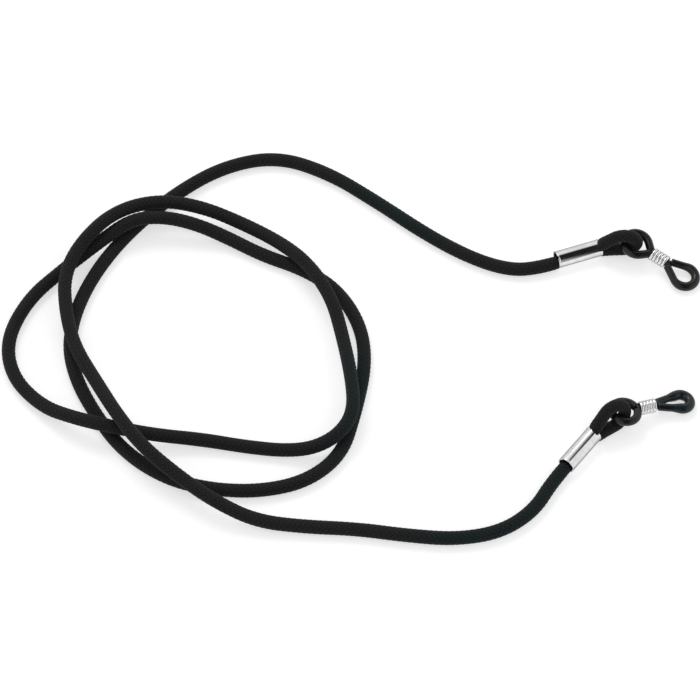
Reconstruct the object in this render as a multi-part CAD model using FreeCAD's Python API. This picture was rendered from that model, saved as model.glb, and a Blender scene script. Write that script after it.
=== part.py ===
"""Eyeglass retainer strap: a soft round cord with a crimped eye, a rubber loop and a coil at each end.

Millimetres, +Z up, the strap lying on the plane z = 0.
The origin is at the middle of the two end fittings' footprint.
"""
import FreeCAD, Part
import math
import os
from FreeCAD import Placement, Rotation, Vector

# ---- cord ----
CORD_D = 3.0              # free cord
EYE_CORD_D = 2.9          # the same cord, drawn a little tighter where it is folded into an eye
CORD_SIDES = 8            # a soft cord has no true circle: flat sides, corners on its diameter
EYE_SIDES = 8

# ---- crimped ferrule ----
FERRULE_D = 3.8
FERRULE_WALL = 0.25
FERRULE_LEN = 10.4
LIP_OUT = 0.05            # a rolled lip at each mouth stands this proud
LIP_LEN = 0.5
SEAM_GAP = 0.16           # the rolled tube's butt seam, underneath
FILL_GAP = 0.03           # between the crimped cord and the bore
FOLD_GAP = 0.08           # between the two strands inside the ferrule
TAIL_INSET = 1.0          # the folded-back end stops this far inside the rear mouth
BORE_RISE = 0.45          # the free cord is the lower strand: the bore's axis lies this far above it

# ---- rubber loop ----
RUBBER_D = 1.9            # strand of the loop
RUBBER_SIDES = 8
NECK_D = 1.74             # where the coil presses the two strands together
STRAND_SPREAD = 0.84      # between the strands' centres where they leave the neck
LOOP_STRAND_LEN = 18.5    # strand from neck to neck round the temple loop
RING_CLEAR = 0.45         # between the rear ring and the cord that it hangs on
NECK_MARGIN = 0.15        # neck left bare at each end of the coil

# ---- coil ----
WIRE_D = 0.6
WIRE_SIDES = 5
COIL_LEN = 4.7            # over the wire
COIL_TURNS = 5.1
COIL_CLEAR = 0.05         # radial, on the neck

# ---- cord eye ----
OPENING_CLEAR = 0.55      # above and below the rubber in the eye
EYE_REACH = 8.1           # from the ferrule's mouth to the pivot in the eye's bight
PARTING = 0.4             # the two strands part this far inside the mouth
SQUEEZE_ANGLE = 45.0      # and swell from there at this slope
SQUEEZE_LEN = 2.5
FLOOR_CLEAR = 0.02        # under the temple loop's tip

# ---- how each end lies: headings are degrees from +X, anticlockwise seen from above,
# and ring_reach is from the pivot to the neck of the soft rubber ----
ENDS = {
    "upper": {"bore_aside": 0.4, "eye_heading": 0.5, "eye_lean": 7.0, "ring_reach": 3.6,
              "link_heading": -32.0, "link_roll": 0.0, "tip_bend": -10.0, "loop_width": 7.3},
    "lower": {"bore_aside": 0.0, "eye_heading": 31.5, "eye_lean": -11.0, "ring_reach": 2.95,
              "link_heading": 21.0, "link_roll": -3.0, "tip_bend": -10.0, "loop_width": 6.2},
}

# ---- the cord's route, from the upper ferrule to the lower one: points chosen by hand ----
MIDDLE = Vector(-0.1, -0.4, 0)      # of the two fittings' footprint, among these points: the origin
ROUTE = [
    (-15.2, 23.8, 1.55), (-21.0, 21.75, 1.55), (-27.5, 21.9, 1.5), (-35.3, 25.1, 1.5),
    (-44.4, 31.4, 1.5), (-55.1, 40.3, 1.5), (-66.3, 48.9, 1.5), (-78.1, 53.8, 1.5),
    (-90.0, 50.8, 1.5), (-100.5, 43.2, 1.5), (-110.8, 32.9, 1.5), (-117.8, 22.3, 1.5),
    (-122.1, 11.6, 1.5), (-123.9, 1.3, 1.5), (-121.9, -8.1, 1.5), (-117.2, -17.6, 1.5),
    (-110.8, -27.0, 1.5), (-101.3, -34.2, 1.5), (-91.1, -37.0, 1.5), (-80.4, -37.1, 1.5),
    (-70.5, -34.1, 1.5), (-63.2, -27.5, 1.5), (-60.2, -16.8, 1.5), (-57.8, -4.1, 1.5),
    (-59.1, 6.7, 1.5), (-64.2, 16.8, 1.5), (-72.0, 22.3, 1.5), (-81.2, 26.2, 1.5),
    (-88.9, 30.4, 1.9), (-96.0, 32.7, 4.4), (-103.2, 34.0, 5.3), (-110.5, 33.1, 5.4),
    (-117.9, 28.0, 3.2), (-125.8, 22.0, 1.5), (-132.8, 13.8, 1.5), (-137.1, 2.6, 1.5),
    (-135.3, -7.5, 1.5), (-128.4, -15.2, 1.8), (-120.8, -19.9, 4.9), (-113.8, -22.2, 5.0),
    (-104.3, -23.6, 3.2), (-93.5, -24.0, 1.9), (-83.6, -25.7, 1.5), (-75.2, -26.8, 1.7),
    (-68.9, -26.9, 3.3), (-63.6, -24.0, 4.8), (-60.6, -18.7, 5.1), (-60.8, -10.0, 5.0),
    (-63.4, 2.2, 3.5), (-65.7, 11.7, 5.1), (-70.6, 20.9, 5.3), (-77.2, 28.8, 3.2),
    (-86.0, 34.8, 2.5), (-94.8, 37.5, 4.8), (-104.5, 38.9, 5.3), (-114.6, 34.6, 6.8),
    (-121.9, 26.2, 6.0), (-125.2, 17.8, 5.1), (-124.6, 8.8, 4.7), (-122.0, -1.5, 5.1),
    (-116.8, -11.4, 5.9), (-111.5, -21.9, 7.9), (-105.9, -29.7, 7.6), (-98.3, -35.7, 5.4),
    (-90.5, -41.6, 4.7), (-81.6, -45.1, 2.2), (-71.1, -46.4, 1.5), (-60.0, -47.2, 1.5),
    (-49.4, -48.8, 1.5), (-38.9, -49.5, 1.5), (-29.3, -47.4, 1.5), (-22.1, -42.0, 1.5),
    (-18.0, -34.7, 1.55), (-15.0, -30.8, 1.55),
]
TANGENT_SHARE = 0.45      # of the shorter run beside a point, given to its arc

# ---- worked out ----
BORE_R = FERRULE_D / 2 - FERRULE_WALL
FILL_R = BORE_R - FILL_GAP
RUBBER_R = RUBBER_D / 2
EYE_R = EYE_CORD_D / 2
RING_R = EYE_R + RING_CLEAR + RUBBER_R            # centreline of the rear ring, about the pivot
BIGHT_R = EYE_R + RUBBER_R + OPENING_CLEAR        # centreline of the cord's turn
NECK_LEN = COIL_LEN + 2 * NECK_MARGIN
COIL_R = NECK_D / 2 + COIL_CLEAR + WIRE_D / 2     # centreline of the wire
ORIGIN = Vector(0, 0, 0)
AHEAD = Vector(1, 0, 0)
ASIDE = Vector(0, 1, 0)
UP = Vector(0, 0, 1)
ROUTE_POINTS = [Vector(*p) - MIDDLE for p in ROUTE]


def line(a, b):
    return Part.LineSegment(a, b).toShape()


def arc(a, middle, b):
    return Part.Arc(a, middle, b).toShape()


def strand(edges, diameter, sides):
    """Solid strand along tangent edges, a flat side down at its start."""
    start = edges[0].Vertexes[0].Point
    along = edges[0].tangentAt(edges[0].FirstParameter)
    across = UP.cross(along).normalize()
    upward = along.cross(across)
    corners = []
    for i in range(sides + 1):
        angle = 2 * math.pi * (i + 0.5) / sides
        corners.append(start + (across * math.sin(angle) + upward * math.cos(angle)) * (diameter / 2))
    return Part.Wire(edges).makePipeShell([Part.makePolygon(corners)], True, False)


def rounded_route(points):
    """Edges of straight runs joined by tangent arcs, with the arcs' radii."""
    edges = []
    radii = []
    last = points[0]
    for before, here, after in zip(points, points[1:], points[2:]):
        back = before - here
        on = after - here
        reach = TANGENT_SHARE * min(back.Length, on.Length)
        turn = math.pi - back.getAngle(on)
        radius = reach / math.tan(turn / 2)
        start = here + back.normalize() * reach
        end = here + on.normalize() * reach
        middle = (start + end) / 2
        outward = (here - middle).normalize()
        edges.append(line(last, start))
        edges.append(arc(start, middle + outward * (radius * (1 - math.cos(turn / 2))), end))
        radii.append(radius)
        last = end
    edges.append(line(last, points[-1]))
    return edges, radii


def make_cord():
    edges, radii = rounded_route(ROUTE_POINTS)
    cord = strand(edges, CORD_D, CORD_SIDES)
    length = sum(e.Length for e in edges)
    section = CORD_SIDES / 2 * (CORD_D / 2) ** 2 * math.sin(2 * math.pi / CORD_SIDES)
    print("cord length %.1f, volume over section x length %.4f" % (length, cord.Volume / (section * length)))
    print("bend radii, smallest first:", ", ".join("%.1f" % r for r in sorted(radii)))
    return cord


def drop_halves(start_offset, reach, rise, radius):
    """The two halves of a drop on the XY plane: from either side of the origin to the far end of an arc."""
    centre = Vector(reach, rise, 0)
    far = centre + AHEAD * radius
    halves = []
    for side in (1, -1):
        start = Vector(0, side * start_offset, 0)
        to_centre = centre - start
        slope = math.atan2(to_centre.y, to_centre.x) + side * math.asin(radius / to_centre.Length)
        touch = centre + Vector(-math.sin(slope), math.cos(slope), 0) * (side * radius)
        middle = centre + (touch + far - centre * 2).normalize() * radius
        halves.append([line(start, touch), arc(touch, middle, far)])
    return halves


def drop_loop(start_offset, reach, rise, radius, diameter, sides):
    """Solid of a strand laid along both halves of a drop, cut square where it starts."""
    first, second = [strand(half, diameter, sides) for half in drop_halves(start_offset, reach, rise, radius)]
    size = 2 * (reach + radius + diameter)
    ahead = Part.makeBox(size, 2 * size, 2 * size, Vector(0, -size, -size))
    return first.fuse([second]).common(ahead)


def loop_reach(radius):
    """Distance from the neck to the centre of the tip's arc, for the temple loop's strand length."""
    low, high = radius * 1.05, LOOP_STRAND_LEN
    for _ in range(50):
        reach = (low + high) / 2
        halves = drop_halves(STRAND_SPREAD / 2, reach, 0, radius)
        if sum(e.Length for half in halves for e in half) > LOOP_STRAND_LEN:
            high = reach
        else:
            low = reach
    return reach


class End:
    """Where the pieces of one end fitting lie."""

    def __init__(self, name):
        lay = ENDS[name]
        exit, inner = ROUTE_POINTS[:2] if name == "upper" else ROUTE_POINTS[:-3:-1]
        direction = math.degrees(math.atan2(exit.y - inner.y, exit.x - inner.x))
        cord_end = Placement(exit, Rotation(UP, direction))
        self.ferrule = Placement(cord_end.multVec(Vector(0, lay["bore_aside"], BORE_RISE)), cord_end.Rotation)
        parting = self.ferrule.multVec(Vector(FERRULE_LEN - PARTING, 0, 0))
        lean = math.cos(math.radians(lay["eye_lean"]))
        self.eye_rise = BIGHT_R + (EYE_R - parting.z) / lean      # the eye's lower strand lies on the table
        turn = Rotation(UP, lay["eye_heading"]).multiply(Rotation(AHEAD, lay["eye_lean"] + 90))
        self.eye = Placement(parting, turn)
        pivot = self.eye.multVec(Vector(PARTING + EYE_REACH, self.eye_rise, 0))
        self.tip_bend = lay["tip_bend"]
        self.tip_r = (lay["loop_width"] - RUBBER_D) / 2
        self.tip_x = loop_reach(self.tip_r)
        self.ring_reach = lay["ring_reach"]
        rear_to_tip = RING_R + self.ring_reach + NECK_LEN + self.tip_x + self.tip_r
        roll = lay["link_roll"]
        tip_z = RUBBER_R + FLOOR_CLEAR + self.tip_r * math.sin(math.radians(abs(roll)))
        slope = math.asin((pivot.z - tip_z) / rear_to_tip)
        pivot.z -= RING_R * math.sin(slope)       # the ring's rear crosses the eye at half its height
        turn = Rotation(UP, lay["link_heading"]).multiply(Rotation(ASIDE, math.degrees(slope)))
        self.link = Placement(pivot, turn.multiply(Rotation(AHEAD, roll)))


def make_ferrule():
    """Rolled tube along +X from the rear mouth, a lip at both mouths, its seam below."""
    outer = FERRULE_D / 2
    profile = Part.makePolygon([
        Vector(0, 0, BORE_R), Vector(0, 0, outer + LIP_OUT), Vector(LIP_LEN, 0, outer),
        Vector(FERRULE_LEN - LIP_LEN, 0, outer), Vector(FERRULE_LEN, 0, outer + LIP_OUT),
        Vector(FERRULE_LEN, 0, BORE_R), Vector(0, 0, BORE_R),
    ])
    tube = Part.Face(profile).revolve(ORIGIN, AHEAD, 360)
    seam = Part.makeBox(FERRULE_LEN, SEAM_GAP, FERRULE_D, Vector(0, -SEAM_GAP / 2, -FERRULE_D))
    return tube.cut(seam)


def crimped_strand(side, start):
    """Half-round strand in the ferrule's bore, above (+1) or below (-1) the fold."""
    rod = Part.makeCylinder(FILL_R, FERRULE_LEN - start, Vector(start, 0, 0), AHEAD)
    low = FOLD_GAP / 2 if side > 0 else -FOLD_GAP / 2 - FERRULE_D
    return rod.common(Part.makeBox(FERRULE_LEN, FERRULE_D, FERRULE_D, Vector(start, -FERRULE_D / 2, low)))


def make_eye(end):
    """The cord's folded end: two strands pressed into the ferrule, and the eye that they make beyond it."""
    reach = PARTING + EYE_REACH - BIGHT_R
    loop = drop_loop(FILL_R / 2, reach, end.eye_rise, BIGHT_R, EYE_CORD_D, EYE_SIDES)
    swell = FILL_R + SQUEEZE_LEN * math.tan(math.radians(SQUEEZE_ANGLE))
    size = 2 * (EYE_REACH + EYE_CORD_D)       # larger than the eye, for the solids that it is trimmed with
    funnel = Part.Face(Part.makePolygon([
        ORIGIN, Vector(0, FILL_R, 0), Vector(SQUEEZE_LEN, swell, 0), Vector(SQUEEZE_LEN, size, 0),
        Vector(size, size, 0), Vector(size, 0, 0), ORIGIN,
    ])).revolve(ORIGIN, AHEAD, 360)
    loop = place(loop.common(funnel), end.eye)
    bore = Part.makeCylinder(FILL_R, FERRULE_LEN, ORIGIN, AHEAD)
    beyond = Part.makeBox(size, 2 * size, 2 * size, Vector(FERRULE_LEN, -size, -size))
    loop = loop.common(place(bore.fuse(beyond), end.ferrule))
    table = Part.makeBox(4 * size, 4 * size, size, Vector(end.eye.Base.x - 2 * size, end.eye.Base.y - 2 * size, 0))
    pressed = [place(crimped_strand(-1, 0), end.ferrule), place(crimped_strand(1, TAIL_INSET), end.ferrule)]
    return loop.common(table).fuse(pressed)


def make_rubber_loop(end):
    """Rear ring, neck and temple loop in one moulding, along +X from the pivot."""
    ring = drop_loop(STRAND_SPREAD / 2, end.ring_reach, 0, RING_R, RUBBER_D, RUBBER_SIDES)
    ring.rotate(ORIGIN, UP, 180)
    ring.translate(Vector(end.ring_reach, 0, 0))
    neck = Part.makeCylinder(NECK_D / 2, NECK_LEN, Vector(end.ring_reach, 0, 0), AHEAD)
    temple = drop_loop(STRAND_SPREAD / 2, end.tip_x, 0, end.tip_r, RUBBER_D, RUBBER_SIDES)
    temple.rotate(ORIGIN, UP, end.tip_bend)
    temple.translate(Vector(end.ring_reach + NECK_LEN, 0, 0))
    return ring.fuse([neck, temple])


def make_coil(end):
    """Open-ended coil of round wire round the neck, along +X."""
    lead = COIL_LEN - WIRE_D
    helix = Part.makeHelix(lead / COIL_TURNS, lead, COIL_R)
    section = []
    for i in range(WIRE_SIDES + 1):
        angle = 2 * math.pi * i / WIRE_SIDES
        section.append(Vector(COIL_R + math.cos(angle) * WIRE_D / 2, 0, math.sin(angle) * WIRE_D / 2))
    coil = Part.Wire(helix.Edges).makePipeShell([Part.makePolygon(section)], True, True)
    coil.rotate(ORIGIN, ASIDE, 90)
    coil.translate(Vector(end.ring_reach + NECK_MARGIN + WIRE_D / 2, 0, 0))
    return coil


def place(shape, placement):
    moved = shape.copy()
    moved.Placement = placement.multiply(moved.Placement)
    return moved


def save(name, shape):
    if shape.ShapeType == "Compound" and len(shape.Solids) == 1:
        shape = shape.Solids[0]
    print("%-18s solids %d  valid %s  volume %.2f" % (name, len(shape.Solids), shape.isValid(), shape.Volume))
    shape.exportStep("parts/%s.step" % name)


os.makedirs("parts", exist_ok=True)
save("cord", make_cord())
for name in ENDS:
    end = End(name)
    save(name + "_ferrule", place(make_ferrule(), end.ferrule))
    save(name + "_cord_eye", make_eye(end))
    save(name + "_rubber_loop", place(make_rubber_loop(end), end.link))
    save(name + "_coil", place(make_coil(end), end.link))
    pivot = end.link.Base
    axis = end.link.Rotation.multVec(AHEAD)
    print("%s pivot (%.3f, %.3f, %.3f) link axis (%.5f, %.5f, %.5f)" % (name, *pivot, *axis))
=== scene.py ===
"""Looks of an eyeglass retainer strap.

A braided cord has a crimped eye, a rubber loop and a coil at each end. Every length is in metres, in the
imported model's own frame.
"""
import math

import bmesh
import bpy
import numpy as np
from bpy.props import FloatProperty, FloatVectorProperty, IntProperty, PointerProperty
from mathutils import Matrix, Vector


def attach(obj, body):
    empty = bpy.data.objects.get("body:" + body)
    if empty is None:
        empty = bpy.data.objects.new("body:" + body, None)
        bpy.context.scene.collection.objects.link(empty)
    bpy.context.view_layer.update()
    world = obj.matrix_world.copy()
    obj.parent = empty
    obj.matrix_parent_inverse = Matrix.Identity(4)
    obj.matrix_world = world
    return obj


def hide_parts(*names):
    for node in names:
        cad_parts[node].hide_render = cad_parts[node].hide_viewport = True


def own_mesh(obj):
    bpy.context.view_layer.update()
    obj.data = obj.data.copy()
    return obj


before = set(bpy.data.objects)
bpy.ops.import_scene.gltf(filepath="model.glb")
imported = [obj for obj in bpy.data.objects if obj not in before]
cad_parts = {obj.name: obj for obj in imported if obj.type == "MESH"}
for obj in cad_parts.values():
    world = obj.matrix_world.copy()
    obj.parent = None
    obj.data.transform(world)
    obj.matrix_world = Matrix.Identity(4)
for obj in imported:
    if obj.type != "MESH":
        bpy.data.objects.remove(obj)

bl_info = {
    "name": "Eyeglass Retainer Strap",
    "version": (1, 0, 0),
    "blender": (4, 5, 0),
    "location": "3D View > Sidebar > Strap",
    "description": "Builds the braided cord, its crimped eyes, the rubber loops and their coils",
    "category": "Object",
}

# The cord's route from the upper ferrule to the lower one: the part's own points, moved by up to 0.6 mm
# to follow the photograph.
ROUTE = [
    (-0.0152, 0.0238, 0.00155), (-0.0210, 0.02175, 0.00155), (-0.0275, 0.0222, 0.0015),
    (-0.0353, 0.0256, 0.0015), (-0.0444, 0.0317, 0.0015), (-0.0551, 0.04055, 0.0015),
    (-0.0663, 0.04905, 0.0015), (-0.0781, 0.0538, 0.0015), (-0.0901, 0.05095, 0.0015),
    (-0.1007, 0.0435, 0.0015), (-0.1108, 0.0329, 0.0015), (-0.1178, 0.0223, 0.0015),
    (-0.1221, 0.0116, 0.0015), (-0.1236, 0.0013, 0.0015), (-0.1215, -0.0080, 0.0015),
    (-0.1168, -0.0174, 0.0015), (-0.1106, -0.0267, 0.0015), (-0.1012, -0.0338, 0.0015),
    (-0.0911, -0.0367, 0.0015), (-0.0804, -0.0371, 0.0015), (-0.0705, -0.0344, 0.0015),
    (-0.0632, -0.0275, 0.0015), (-0.0604, -0.0168, 0.0015), (-0.0580, -0.0041, 0.0015),
    (-0.0591, 0.0067, 0.0015), (-0.06445, 0.0165, 0.0015), (-0.0720, 0.0220, 0.0015),
    (-0.0812, 0.0259, 0.0015), (-0.0889, 0.0304, 0.0019), (-0.0960, 0.0324, 0.0044),
    (-0.1032, 0.0338, 0.0053), (-0.1105, 0.0331, 0.0054), (-0.1179, 0.0280, 0.0032),
    (-0.1256, 0.0218, 0.0015), (-0.13295, 0.0138, 0.0015), (-0.13735, 0.0026, 0.0015),
    (-0.13545, -0.0075, 0.0015), (-0.1285, -0.0154, 0.0018), (-0.1210, -0.0204, 0.0049),
    (-0.1138, -0.0225, 0.0050), (-0.1043, -0.0236, 0.0032), (-0.0935, -0.0240, 0.0019),
    (-0.0836, -0.0257, 0.0015), (-0.0752, -0.0268, 0.0017), (-0.0689, -0.0270, 0.0033),
    (-0.0636, -0.02435, 0.0048), (-0.0606, -0.0187, 0.0051), (-0.0611, -0.0100, 0.0050),
    (-0.0631, 0.0022, 0.0035), (-0.0655, 0.0115, 0.0051), (-0.0706, 0.0206, 0.0053),
    (-0.0772, 0.02825, 0.0032), (-0.0860, 0.0342, 0.0025), (-0.0948, 0.03695, 0.0048),
    (-0.1045, 0.03855, 0.0053), (-0.1144, 0.0342, 0.0068), (-0.1217, 0.0260, 0.0060),
    (-0.12495, 0.0178, 0.0051), (-0.12435, 0.0088, 0.0047), (-0.1220, -0.0015, 0.0051),
    (-0.1168, -0.0114, 0.0059), (-0.1115, -0.0219, 0.0079), (-0.1059, -0.0297, 0.0076),
    (-0.0983, -0.0357, 0.0054), (-0.0905, -0.0416, 0.0047), (-0.0816, -0.0451, 0.0022),
    (-0.0711, -0.0461, 0.0015), (-0.0600, -0.04665, 0.0015), (-0.0494, -0.0483, 0.0015),
    (-0.0389, -0.04925, 0.0015), (-0.0293, -0.0474, 0.0015), (-0.0221, -0.0420, 0.0015),
    (-0.0180, -0.0347, 0.00155), (-0.0150, -0.0308, 0.00155),
]
MIDDLE = Vector((-0.0001, -0.0004, 0))      # of the two fittings' footprint, among these points: the origin
ROUTE_POINTS = [Vector(point) - MIDDLE for point in ROUTE]

# How each end lies, as in the part's source: angles in degrees, and headings from +X, seen from above. As in
# the photograph, the temple loop is drawn a few degrees higher than its solid, with fuller strands (fullness)
# whose centres lie further apart at the coil (root_half is half of that distance).
ENDS = {
    "upper": {"bore_aside": 0.0004, "eye_heading": 0.5, "eye_lean": 7.0, "ring_reach": 0.0036,
              "link_heading": -32.0, "link_roll": 0.0, "tip_bend": -8.5, "loop_width": 0.0073,
              "root_half": 0.00075, "fullness": 1.08},
    "lower": {"bore_aside": 0.0, "eye_heading": 31.5, "eye_lean": -11.0, "ring_reach": 0.00295,
              "link_heading": 21.0, "link_roll": -3.0, "tip_bend": -6.0, "loop_width": 0.0062,
              "root_half": 0.00062, "fullness": 1.20},
}
BORE_FILL = 0.00162           # radius of the two strands pressed together in the ferrule's bore
BORE_RISE = 0.00045           # the free cord is the lower strand: the bore's axis lies this far above it
TAIL_INSET = 0.0010           # the folded-back end stops this far inside the rear mouth
PARTING = 0.0004              # the strands part this far inside the mouth
EYE_REACH = 0.0081            # from the ferrule's mouth to the pivot in the eye's bight
OPENING_CLEAR = 0.00055       # above and below the rubber in the eye
RING_CLEAR = 0.00045          # between the rear ring and the cord that it hangs on
FLOOR_CLEAR = 0.00002         # under what lies on the table
NECK_LENGTH = 0.0050          # the coil and a margin at each end
NECK_MARGIN = 0.00015         # neck left bare at each end of the coil
STRAND_SPREAD = 0.00084       # between the two strands' centres where they leave the neck
LOOP_STRAND = 0.0185          # strand from neck to neck round the temple loop
COIL_TRAVEL = 0.0030          # of each coil's slide
SLIM_FADE = 0.0016            # beyond that, the temple loop's strand grows to full size over this length
NECK_SPLIT = 0.0040           # the rubber's two skins meet this far along the neck, inside the coil at rest
STUB_LAP = 0.0001             # each skin's part of the neck runs this far into its loop
SKIN_EXTRA = 0.00001          # added to the strand's radius before its skin is smoothed
SKIN_SMOOTHING = 9            # passes
LOOP_STEPS = 70               # round the arc of a rubber loop
EYE_STEPS = 60                # round the arc of a cord eye

# ---- the cord's own unevenness and its crimped ends ----
CORD_SWAYS = [(0.006, 211.0, 0.0), (0.005, 517.0, 1.3)]     # share of its half size, radians a metre, phase
CORD_PINCH = 0.055            # the cord is narrower by this share where it enters a ferrule
PINCH_FADE = 0.0009           # and fills out again over about this length
SWELL_SLOPE = 0.55            # how fast the half thickness of an eye's strands grows beyond the bore
SWELL_LENGTH = 0.0030         # and over what length they lose the width that the bore gave them
FOLD_CLEAR = 0.00001          # between an eye's strands where they part
CRIMP_CLEAR = 0.00002         # between a crimped strand and the bore

# ---- the ferrule's lips ----
LIP_ROLL = 0.35               # share of the lip's length from the mouth to the fine groove round it
LIP_GROOVE = 0.55             # height of the lip in that groove, as a share of its full height
MOUTH_BEVEL = 0.00004         # inside the mouth
FACE_ROW = 0.00003            # a row of points on the mouth's flat face lies this far below the groove
SHARP_EDGE = 40.0             # degrees between faces, from which an edge stays sharp

# ---- colour casts: places in the frame, and how far each reaches ----
CORD_CASTS = [(-0.0600, -0.0138), (-0.0527, 0.0370), (-0.0190, -0.0380), (-0.0330, -0.0470)]
CORD_CAST_REACH = 0.019
RUBBER_CASTS = [(0.0100, -0.0130)]
RUBBER_CAST_REACH = 0.010
CAST_CORE = 0.35              # a cast is full over this share of its reach
METAL_EDGE = (0.12, 0.12, 0.13, 1)    # darkens plated metal where it is seen at a glancing angle

# ---- the braid ----
BRAID_REPEAT = 4.0            # over two yarns and under two
CROWN_LEAST = 0.35            # height of a yarn where it dives under the next, as a share of its highest
FILAMENTS = 7.0               # how many times finer than the yarns their streaks are

# ---- stage: places from the middle of the view ----
VIEW_MIDDLE = Vector((-0.0615, 0.001, 0)) - MIDDLE
TABLE_HALF = 4.0
KEY_PLACE, KEY_SIZE = Vector((-0.25, 0.55, 0.85)), (0.45, 0.35)
FILL_PLACE, FILL_SIZE = Vector((0.5, -0.5, 0.7)), (0.5, 0.5)
GAP_FADE = 1.6                # the unlit gap has faded out at this many times its half width
GAP_BACK = (0.27, 0.55)       # and towards the back it fades out between these shares of +Y
CAMERA_ELEVATION = 55.0       # degrees
CAMERA_DISTANCE = 0.85789
CAMERA_LENS, CAMERA_SENSOR = 200.0, 36.0    # millimetres
CAMERA_CLIP = (0.05, 50.0)


def settings(name):
    return getattr(bpy.context.scene, "strap_" + name)


# ---------------------------------------------------------------- node helpers

def feed(tree, socket, value):
    """Links an output to a socket, or sets the socket's own value."""
    if isinstance(value, bpy.types.NodeSocket):
        tree.links.new(value, socket)
    else:
        socket.default_value = value


def fill(tree, made, inputs):
    """Feeds a node's sockets, by name or by place; None leaves one alone, as not every choice has them all."""
    for socket, value in inputs.items():
        if value is not None:
            feed(tree, made.inputs[socket], value)


def node(tree, kind, inputs=None, **choices):
    """A new node with these choices made, and its inputs filled."""
    made = tree.nodes.new(kind)
    for key, value in choices.items():
        setattr(made, key, value)
    fill(tree, made, inputs or {})
    return made


def math_node(tree, operation, a, b=None, c=None):
    return node(tree, "ShaderNodeMath", {0: a, 1: b, 2: c}, operation=operation).outputs[0]


def vector_node(tree, operation, a, b=None, scale=None):
    made = node(tree, "ShaderNodeVectorMath", {0: a, 1: b, "Scale": scale}, operation=operation)
    return made.outputs["Value" if operation == "LENGTH" else "Vector"]


def braid_pattern(tree, turns, along, carriers, pitch):
    """Height from 0 to 1 of a two-over-two braid, the two helix coordinates and which way the top yarn runs.

    turns is the place round the cord in whole turns and along the place on its length.
    """
    round_the_cord = math_node(tree, "MULTIPLY", turns, carriers)
    down_the_cord = math_node(tree, "DIVIDE", math_node(tree, "MULTIPLY", along, carriers), pitch)
    left = math_node(tree, "SUBTRACT", round_the_cord, down_the_cord)
    right = math_node(tree, "ADD", round_the_cord, down_the_cord)
    left_yarn = math_node(tree, "ROUND", left)
    right_yarn = math_node(tree, "ROUND", right)
    off_left = math_node(tree, "SUBTRACT", left, left_yarn)
    off_right = math_node(tree, "SUBTRACT", right, right_yarn)
    place = math_node(tree, "FLOORED_MODULO", math_node(tree, "ADD", left_yarn, right_yarn), BRAID_REPEAT)
    right_on_top = math_node(tree, "GREATER_THAN", place, BRAID_REPEAT / 2 - 0.5)
    change = math_node(tree, "MULTIPLY", right_on_top, math_node(tree, "SUBTRACT", off_right, off_left))
    across_yarn = math_node(tree, "ADD", off_left, change)
    along_yarn = math_node(tree, "SUBTRACT", off_right, change)
    half = math_node(tree, "FLOORED_MODULO", place, BRAID_REPEAT / 2)
    on_float = math_node(tree, "SUBTRACT", math_node(tree, "ADD", along_yarn, half), 0.5)
    crown = math_node(tree, "COSINE", math_node(tree, "MULTIPLY", across_yarn, math.pi))
    bow = math_node(tree, "COSINE", math_node(tree, "MULTIPLY", on_float, math.pi / 2))
    dive = math_node(tree, "MULTIPLY_ADD", bow, 1 - CROWN_LEAST, CROWN_LEAST)
    height = math_node(tree, "MULTIPLY", crown, dive)
    return height, left, right, right_on_top


# ---------------------------------------------------------------- geometry node trees

def new_geometry_tree(name, inputs):
    """An empty tree with named inputs: (name, socket type, default)."""
    tree = bpy.data.node_groups.new(name, "GeometryNodeTree")
    tree.interface.new_socket("Geometry", in_out="INPUT", socket_type="NodeSocketGeometry")
    for label, kind, default in inputs:
        socket = tree.interface.new_socket(label, in_out="INPUT", socket_type=kind)
        if default is not None:
            socket.default_value = default
    tree.interface.new_socket("Geometry", in_out="OUTPUT", socket_type="NodeSocketGeometry")
    entry = node(tree, "NodeGroupInput")
    return tree, {s.name: s for s in entry.outputs}


def close_tree(tree, geometry, material):
    """Realize Instances and Set Material, then the output."""
    smooth = node(tree, "GeometryNodeSetShadeSmooth", {"Geometry": geometry})
    realize = node(tree, "GeometryNodeRealizeInstances", {"Geometry": smooth.outputs["Geometry"]})
    paint = node(tree, "GeometryNodeSetMaterial", {
        "Geometry": realize.outputs["Geometry"], "Material": material})
    node(tree, "NodeGroupOutput", {"Geometry": paint.outputs["Geometry"]})


def captured(tree, geometry, kind, value):
    made = node(tree, "GeometryNodeCaptureAttribute", domain="POINT")
    made.capture_items.new(kind, "Kept")
    fill(tree, made, {"Geometry": geometry, 1: value})
    return made.outputs["Geometry"], made.outputs[1]


def named(tree, name):
    made = node(tree, "GeometryNodeInputNamedAttribute", {"Name": name}, data_type="FLOAT")
    return made.outputs["Attribute"]


def stored(tree, geometry, name, kind, value):
    made = node(tree, "GeometryNodeStoreNamedAttribute", {
        "Name": name, "Geometry": geometry, "Value": value}, data_type=kind, domain="POINT")
    return made.outputs["Geometry"]


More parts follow.
